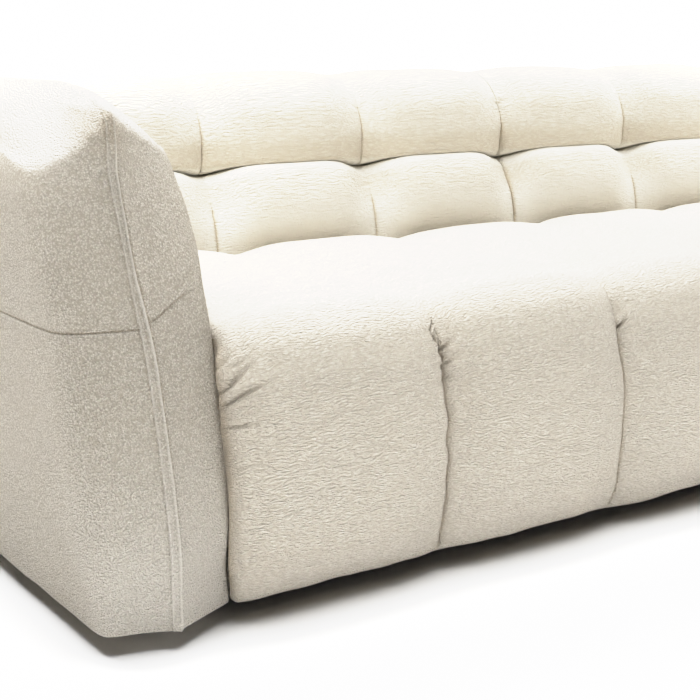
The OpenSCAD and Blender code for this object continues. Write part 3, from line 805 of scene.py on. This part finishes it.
def make_arm(name, side, node_name):
    ref, _ = arm_controls(0.40)
    knots = chord(np.vstack([ref, ref[:1]]))
    P = knots[-1]
    near = np.concatenate([np.arange(0, 14, 0.6), np.arange(14, 24, 1.2), np.arange(24, 42, 2.4)]) * MM
    step = 0.0046
    tall = 0.0030

    def spread(a, b, h):
        n = max(1, int(round((b - a) / h)))
        return np.linspace(a, b, n + 1)[:-1]
    ta = spread(near[-1] + 0.0022, P - 0.030, step)
    back = P - np.concatenate([np.arange(0.6, 7, 0.6), np.arange(7, 14, 1.2), np.arange(14, 30, 2.4)])[::-1] * MM
    t = np.concatenate([near, ta, back])
    rows = spline_rows(knots, t, closed=True)
    # heights: close together at the level seam and over the top
    zs = np.concatenate([
        [0.0310, 0.0294, 0.0290, 0.0300, 0.0330],
        np.arange(0.038, 0.428, tall), 0.440 + np.array([-9, -7, -5.2, -3.8, -2.6, -1.6, -0.8, 0, 0.8, 1.6, 2.6, 3.8, 5.2, 7, 9]) * MM,
        np.arange(0.4535, 0.680, tall), np.arange(0.681, 0.742, 0.0022)])
    gaps = np.geomspace(0.0205, 0.00006, 34)
    zs = np.concatenate([zs[zs < 0.7400], 0.7625 - gaps])
    levels = len(zs)
    X = np.zeros((levels, len(t)))
    Y = np.zeros_like(X)
    K = np.zeros(levels)
    for j, z in enumerate(zs):
        c, kk = arm_controls(z)
        p = rows @ c
        X[j], Y[j] = p[:, 0], p[:, 1]
        K[j] = kk
    # turned-under lower edge
    shrink = np.array([0.014, 0.0075, 0.0035, 0.0010, 0.0])
    Z = np.repeat(zs[:, None], len(t), 1)
    q = np.where(t < P / 2, -t, P - t)[None, :]       # distance from the front seam, outer side negative
    # outward normals in the level plane
    tx, ty = np.gradient(X, axis=1), np.gradient(Y, axis=1)
    tx[:, 0], ty[:, 0] = X[:, 1] - X[:, -1], Y[:, 1] - Y[:, -1]
    tx[:, -1], ty[:, -1] = X[:, 0] - X[:, -2], Y[:, 0] - Y[:, -2]
    ln = np.hypot(tx, ty)
    HX, HY = ty / ln, -tx / ln
    sgn = np.sign((HY[:, 0].mean()))
    if sgn > 0:
        HX, HY = -HX, -HY
    # full normals with the slope between levels
    dXz, dYz, dZz = np.gradient(X, axis=0), np.gradient(Y, axis=0), np.gradient(Z, axis=0)
    U = np.stack([tx, ty, np.zeros_like(tx)], -1)
    V = np.stack([dXz, dYz, dZz], -1)
    N = np.cross(U, V)
    N /= np.maximum(np.linalg.norm(N, axis=2, keepdims=True), 1e-12)
    flipn = np.sign(np.sum(N[..., 0] * HX + N[..., 1] * HY))
    N *= flipn
    zz = Z
    out = np.zeros_like(X)
    out += 0.0030 * noise3(X / 0.19 + 9, Y / 0.19, zz / 0.19, 71)
    out += 0.0011 * noise3(X / 0.06 + 3, Y / 0.06, zz / 0.06, 72)
    ends = smooth(0.0, 0.004, 0.7625 - zz)
    out *= ends
    # the front seam: a felled strip with a ridge along the seam and a row of stitches
    over = 1 - smooth(0.714, 0.728, zz)
    up = np.clip((zz - 0.03) / 0.7, 0, 1)
    wide = np.interp(zz, (0.03, 0.12, 0.20, 0.40, 0.46, 0.52, 0.60, 0.66), (0.0122, 0.0120, 0.0114, 0.0108, 0.0092, 0.0086, 0.0105, 0.0122))
    off = np.interp(zz, (0.03, 0.40, 0.50, 0.645, 0.70, 0.73), (0.0020, 0.0020, 0.0, 0.0005, 0.0045, 0.0060))
    a = q - off                                       # from the right ridge
    c = a + wide                                      # from the left ridge
    strip = smooth(-0.0008, 0.0006, c) - smooth(-0.0006, 0.0008, a)
    rib = 0.0010 * strip + 0.0024 * np.exp(-(a / 0.0014) ** 2) + 0.0013 * np.exp(-(c / 0.0011) ** 2)
    rib -= 0.0018 * np.exp(-((a - 0.0032) / 0.0013) ** 2) + 0.0008 * np.exp(-((c + 0.0024) / 0.0012) ** 2)
    rib -= 0.0007 * np.exp(-((a + 0.0031) / 0.0010) ** 2)
    stitch = np.exp(-((a + 0.5 * wide) / 0.0024) ** 2) * (0.3 + 0.7 * np.cos(2 * np.pi * (zz / 0.0078 + a / 0.011)))
    rib = rib - 0.0005 * stitch
    rib = rib * (1 + 0.30 * noise3(zz / 0.021, q * 0, q * 0, 73))
    out += rib * over
    # cloth drawn towards the seam: shallow slanting ripples
    rip = np.cos(2 * np.pi * (zz / 0.031 + 0.5 * noise1(zz / 0.07, 74) + np.abs(q) * 5))
    out += 0.0007 * rip * np.exp(-np.abs(q) / 0.030) * smooth(0.0015, 0.008, -c) * over \
        + 0.0006 * rip * np.exp(-np.abs(q) / 0.028) * smooth(0.003, 0.011, a) * over
    # the level seam
    inner_fade = 0.85 * (1 - smooth(0.056, 0.094, q))
    off_strip = np.where(c < 0, 1 - smooth(-0.0028, -0.0012, c), smooth(0.001, 0.003, a))
    level = -0.0016 * np.exp(-((zz - 0.440) / 0.0017) ** 2) + 0.0006 * np.exp(-((zz - 0.4365) / 0.0022) ** 2) \
        + 0.0007 * np.exp(-((zz - 0.4437) / 0.0024) ** 2)
    on_side = np.where(c < 0, 1.0, inner_fade) * off_strip
    out += level * on_side
    X = X + out * N[..., 0]
    Y = Y + out * N[..., 1]
    Zo = Z + out * N[..., 2]
    # the level seam climbs a little on the inner side
    lift = (0.008 * smooth(-0.003, 0.004, q) + 0.032 * smooth(0.0, 0.075, q)) * smooth(0.20, 0.44, zz) * (1 - smooth(0.44, 0.66, zz))
    Zo += lift
    for j in range(5):
        X[j] -= HX[j] * shrink[j]
        Y[j] -= HY[j] * shrink[j]
    hem = 1 - smooth(0.03, 0.09, zz)
    Zo += hem * 0.0018 * noise3(X / 0.06, Y / 0.06, 0 * X, 75)
    # corner of the lower edge, pinched
    Zo = np.maximum(Zo, 0.026)
    # painted shade: dark lines in the grooves beside the seam's two ridges and at the stitches
    dark = np.exp(-((a - 0.0034) / 0.0012) ** 2) * 1.0 + np.exp(-((c + 0.0024) / 0.0011) ** 2) * 0.45 + np.exp(-((a + 0.0033) / 0.0011) ** 2) * 0.4
    dark = dark + np.exp(-((a + 0.5 * wide) / 0.0024) ** 2) * np.clip(np.cos(2 * np.pi * (zz / 0.0078 + a / 0.011)), 0, 1) * 0.4
    dark = dark * over * 0.8
    # painted light: paler low down on the front of the arm
    dark = dark - 0.55 * (1 - smooth(0.06, 0.36, zz)) * smooth(-0.22, -0.08, q) * (1 - smooth(0.10, 0.32, q))
    # painted highlight: faces turned up high on the arm are paler, less so just under the tip
    dark = dark - 1.0 * smooth(0.30, 0.78, N[..., 2]) * smooth(0.58, 0.66, zz) * (1 - 0.85 * np.exp(-((q + 0.036) / 0.026) ** 2) * (1 - smooth(0.726, 0.736, zz)))
    # the pinched tip is in shade
    dark = dark + 0.7 * np.exp(-(q / 0.022) ** 2) * smooth(0.650, 0.705, zz) * (1 - smooth(0.720, 0.730, zz))
    # painted shade along the level seam
    dark = dark + np.exp(-((zz - 0.440) / 0.0013) ** 2) * on_side * 0.9
    # painted highlight on the seam's two ridges and on the level seam's lower lip
    pale = 1.3 * np.exp(-(a / 0.0015) ** 2) + 0.7 * np.exp(-(c / 0.0012) ** 2) + 0.20 * strip
    dark = dark - pale * over - 0.35 * np.exp(-((zz - 0.4368) / 0.0016) ** 2) * on_side * (q < 0)
    # crest: lower towards the rear corner
    crest = smooth(0.700, 0.7625, zz)
    Zo -= crest * 0.004 * smooth(0.30, 0.50, Y)
    verts = np.stack([X, Y, Zo], -1)
    x0 = -ARM_X
    verts[..., 0] += x0
    if side > 0:
        verts[..., 0] *= -1
    n = len(t)
    quads, caps = loft_faces(levels, n)
    # the crest is closed by a row of quads from side to side
    last = (levels - 1) * n
    half = (n - 1) // 2
    i = np.arange(1, half)
    crest_row = np.stack([last + i, last + i + 1, last + n - i - 1, last + n - i], -1)
    caps = [caps[0], np.array([last, last + 1, last + n - 1])]
    if n % 2 == 0:
        caps.append(np.array([last + half, last + half + 1, last + half + 2]))
    quads = np.concatenate([quads, crest_row])
    if side > 0:
        quads, caps = quads[:, ::-1], [c[::-1] for c in caps]
    ob = make(name, verts.reshape(-1, 3), (quads, caps), M_ARM, dark)
    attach(ob, "root")
    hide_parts(node_name)
    return ob


make_arm("arm_cover_left", -1, "arm_cushion_left")
make_arm("arm_cover_right", 1, "arm_cushion_right")

# --------------------------------------------------------------- outside back


def outside_back(name, side, node_name):
    """The rear cover of one module: a crowned panel, turned under below and sewn to the top roll."""
    w0, w1 = 0.0012, L - 0.0005
    d0 = edge_stations(w1 - w0, 0.008, NEAR)
    x = w0 + d0
    prof = np.array([(0.4905, 0.0330), (0.4950, 0.0295), (0.5015, 0.0300), (0.5045, 0.0370), (0.5052, 0.10),
                     (0.5062, 0.25), (0.5062, 0.42), (0.5056, 0.56), (0.5048, 0.640), (0.5030, 0.672), (0.4985, 0.6835),
                     (0.4915, 0.6860)])
    bulge = np.array([0, 0, 0, 0.3, 1.2, 3.0, 3.4, 2.6, 1.2, 0.3, 0, 0]) * MM
    knots = chord(prof)
    t = np.linspace(0, knots[-1], int(knots[-1] / 0.006))
    B = spline_rows(knots, t)
    S = B @ prof
    bl = B @ bulge
    s = (x - (w0 + w1) / 2) / ((w1 - w0) / 2)
    crown = (1 - np.abs(s) ** 4)[:, None]
    Y = S[None, :, 0] + crown * bl[None]
    Z = np.repeat(S[None, :, 1], len(x), 0)
    X = np.repeat(x[:, None], len(t), 1)
    tan = np.gradient(np.stack([Y, Z], -1), t, axis=1)
    tan /= np.linalg.norm(tan, axis=2, keepdims=True)
    NY, NZ = tan[..., 1], -tan[..., 0]
    dl, dr = (x - w0)[:, None], (w1 - x)[:, None]
    out = (-roll(dl, 0.008) - roll(dr, 0.008)) * np.ones_like(Y)
    soft = smooth(0, 0.05, dl) * smooth(0, 0.05, dr)
    out += (0.0010 * noise3(X / 0.22, Z / 0.22, 0 * X, 91) - 0.0008) * soft
    T = t[None]
    # shallow draws from the upper seam and from the lower edge
    rip = np.cos(2 * np.pi * (X / 0.060 + 0.6 * noise1(X / 0.11, 92)))
    out += 0.0006 * rip * (np.exp(-(t[-1] - T) / 0.05) * smooth(0.0, 0.02, t[-1] - T))
    out += 0.0005 * rip * np.exp(-np.abs(T - 0.03) / 0.03)
    # painted shade along the side edges and under the top seam
    dark = np.exp(-np.minimum(dl, dr) / 0.004) * 0.8 + np.exp(-(t[-1] - T) / 0.006) * 0.8
    Y, Z = Y + out * NY, Z + out * NZ
    ring = np.stack([X, Y, Z], -1)
    inner = np.array([(0.4908, 0.60), (0.4908, 0.10)])
    closing = np.zeros((len(x), 2, 3))
    closing[..., 0] = x[:, None]
    closing[..., 1:] = inner[None]
    ring = np.concatenate([ring, closing], 1)
    cr = np.concatenate([dark, np.zeros((len(x), 2))], 1)
    verts = ring.reshape(-1, 3)
    verts[:, 0] *= side
    ob = make(name, verts, loft_faces(len(x), ring.shape[1], flip=side < 0), M_OUT, cr)
    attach(ob, "root")
    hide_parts(node_name)
    return ob


outside_back("rear_cover_left", -1, "outside_back_left")
outside_back("rear_cover_right", 1, "outside_back_right")

# ------------------------------------------- finishes of the CAD nodes that stay

FINISH = {
    "timber": ["front_rail_left", "front_rail_right", "rear_sill_left", "rear_sill_right", "side_rails", "spring_rails",
               "cross_braces", "foot_blocks", "back_posts_left", "back_posts_right", "back_top_rail_left",
               "back_top_rail_right", "arm_frame_left", "arm_frame_right"],
    "fibreboard": ["arm_panels", "front_boards", "back_boards"],
    "spring_steel": ["seat_springs_left", "seat_springs_right", "spring_tie_wires"],
    "zinc_steel": ["spring_clips", "foot_screws", "joining_bolts", "joining_nuts"],
    "elastic_webbing": ["back_webbing_left", "back_webbing_right"],
    "felt": ["spring_felt"],
    "foam": ["seat_foam_left", "seat_foam_right", "back_foam_left", "back_foam_right"],
    "dust_cloth": ["dust_cover_left", "dust_cover_right"],
    "lining": ["joint_linings"],
    "twine": ["tuft_ties"],
    "foot_plastic": ["feet"],
}
for slot_name, names in FINISH.items():
    for nm in names:
        ob = NODES[nm]
        if not ob.material_slots:
            ob.data.materials.append(MATS[slot_name])
        for sl in ob.material_slots:
            sl.material = MATS[slot_name]

# ---------------------------------------------------------------------- stage


def floor_material():
    m, nt, p = new_material("studio_floor")
    f = noise(nt, coords(nt), 0.7, 3, 0.5)
    nt.links.new(mixc(nt, remap(nt, f, 0.3, 0.7), (0.93, 0.93, 0.93), (0.95, 0.95, 0.95)), p.inputs["Base Color"])
    p.inputs["Roughness"].default_value = 0.9
    p.inputs["Specular IOR Level"].default_value = 0.1
    return m


me = bpy.data.meshes.new("floor")
R = 9.0
me.from_pydata([(-R, -R, 0), (R, -R, 0), (R, R, 0), (-R, R, 0)], [], [(0, 1, 2, 3)])
floor = bpy.data.objects.new("floor", me)
bpy.context.scene.collection.objects.link(floor)
me.materials.append(floor_material())

scene = bpy.context.scene
world = bpy.data.worlds.new("studio")
world.use_nodes = True
wt = world.node_tree
bg = wt.nodes["Background"]
bg.inputs["Color"].default_value = (1.0, 1.0, 1.0, 1)
tc = wt.nodes.new("ShaderNodeTexCoord")
sep = wt.nodes.new("ShaderNodeSeparateXYZ")
wt.links.new(tc.outputs["Generated"], sep.inputs[0])
# a low bright wall all round, and a dim room above it
glow = remap(wt, sep.outputs["Z"], 0.026, 0.042, 2.2, 0.02)
# seen directly, the room is as bright as the wall
seen = wt.nodes.new("ShaderNodeLightPath")
direct = wt.nodes.new("ShaderNodeMath")
direct.operation = "MULTIPLY"
direct.inputs[1].default_value = 2.2
wt.links.new(seen.outputs["Is Camera Ray"], direct.inputs[0])
brighter = wt.nodes.new("ShaderNodeMath")
brighter.operation = "MAXIMUM"
wt.links.new(glow, brighter.inputs[0])
wt.links.new(direct.outputs[0], brighter.inputs[1])
wt.links.new(brighter.outputs[0], bg.inputs["Strength"])
scene.world = world


def sun(name, energy, angle, direction, color=(1, 1, 1)):
    data = bpy.data.lights.new(name, "SUN")
    data.energy = energy
    data.angle = math.radians(angle)
    data.color = color
    ob = bpy.data.objects.new(name, data)
    bpy.context.scene.collection.objects.link(ob)
    ob.rotation_euler = Vector(direction).to_track_quat("-Z", "Y").to_euler()
    return ob


def softbox(name, energy, size, place, target, spread=180):
    data = bpy.data.lights.new(name, "AREA")
    data.energy = energy
    data.shape = "RECTANGLE"
    data.size, data.size_y = size
    data.spread = math.radians(spread)
    ob = bpy.data.objects.new(name, data)
    bpy.context.scene.collection.objects.link(ob)
    ob.location = place
    ob.rotation_euler = (Vector(target) - Vector(place)).to_track_quat("-Z", "Y").to_euler()
    ob.visible_camera = False
    return ob


sun("key", 3.9, 36, (0.0, 0.0, -1.0))
sun("rear", 3.5, 36, (-0.12, -0.45, -1.0))
softbox("arm_box_left", 27.0, (0.35, 1.1), (-1.36, 0.12, 1.55), (-1.25, 0.05, 0.7))
softbox("arm_box_right", 27.0, (0.35, 1.1), (1.36, 0.12, 1.55), (1.25, 0.05, 0.7))
# a strip that looks straight down on the floor along the front
softbox("floor_strip", 4.2, (3.9, 0.24), (0, -0.72, 0.42), (0, -0.72, 0), 50)

cam_data = bpy.data.cameras.new("camera")
cam_data.sensor_width = 36.0
cam_data.lens = 72.72
cam_data.clip_end = 200
cam = bpy.data.objects.new("camera", cam_data)
cam.location = (-2.0483, -2.1224, 0.83)
cam.rotation_euler = (math.radians(77.36), 0, math.radians(-34.34))
scene.collection.objects.link(cam)
scene.camera = cam
scene.view_settings.view_transform = "Standard"
scene.view_settings.look = "None"
scene.view_settings.exposure = 0.0
# film-like shoulder: straight up to a middling tone, then rolled off
scene.view_settings.use_curve_mapping = True
film = scene.view_settings.curve_mapping
film.white_level = (2.0, 2.0, 2.0)
line = film.curves[3]
line.points[0].location = (0.0, 0.0)
line.points[1].location = (1.0, 1.0)
for at, value in ((0.55, 0.55), (0.70, 0.685), (0.85, 0.79), (1.0, 0.86), (1.15, 0.895), (1.3, 0.92), (1.5, 0.94),
                  (1.7, 0.975), (1.85, 0.996)):
    line.points.new(at / 2.0, value)
film.update()
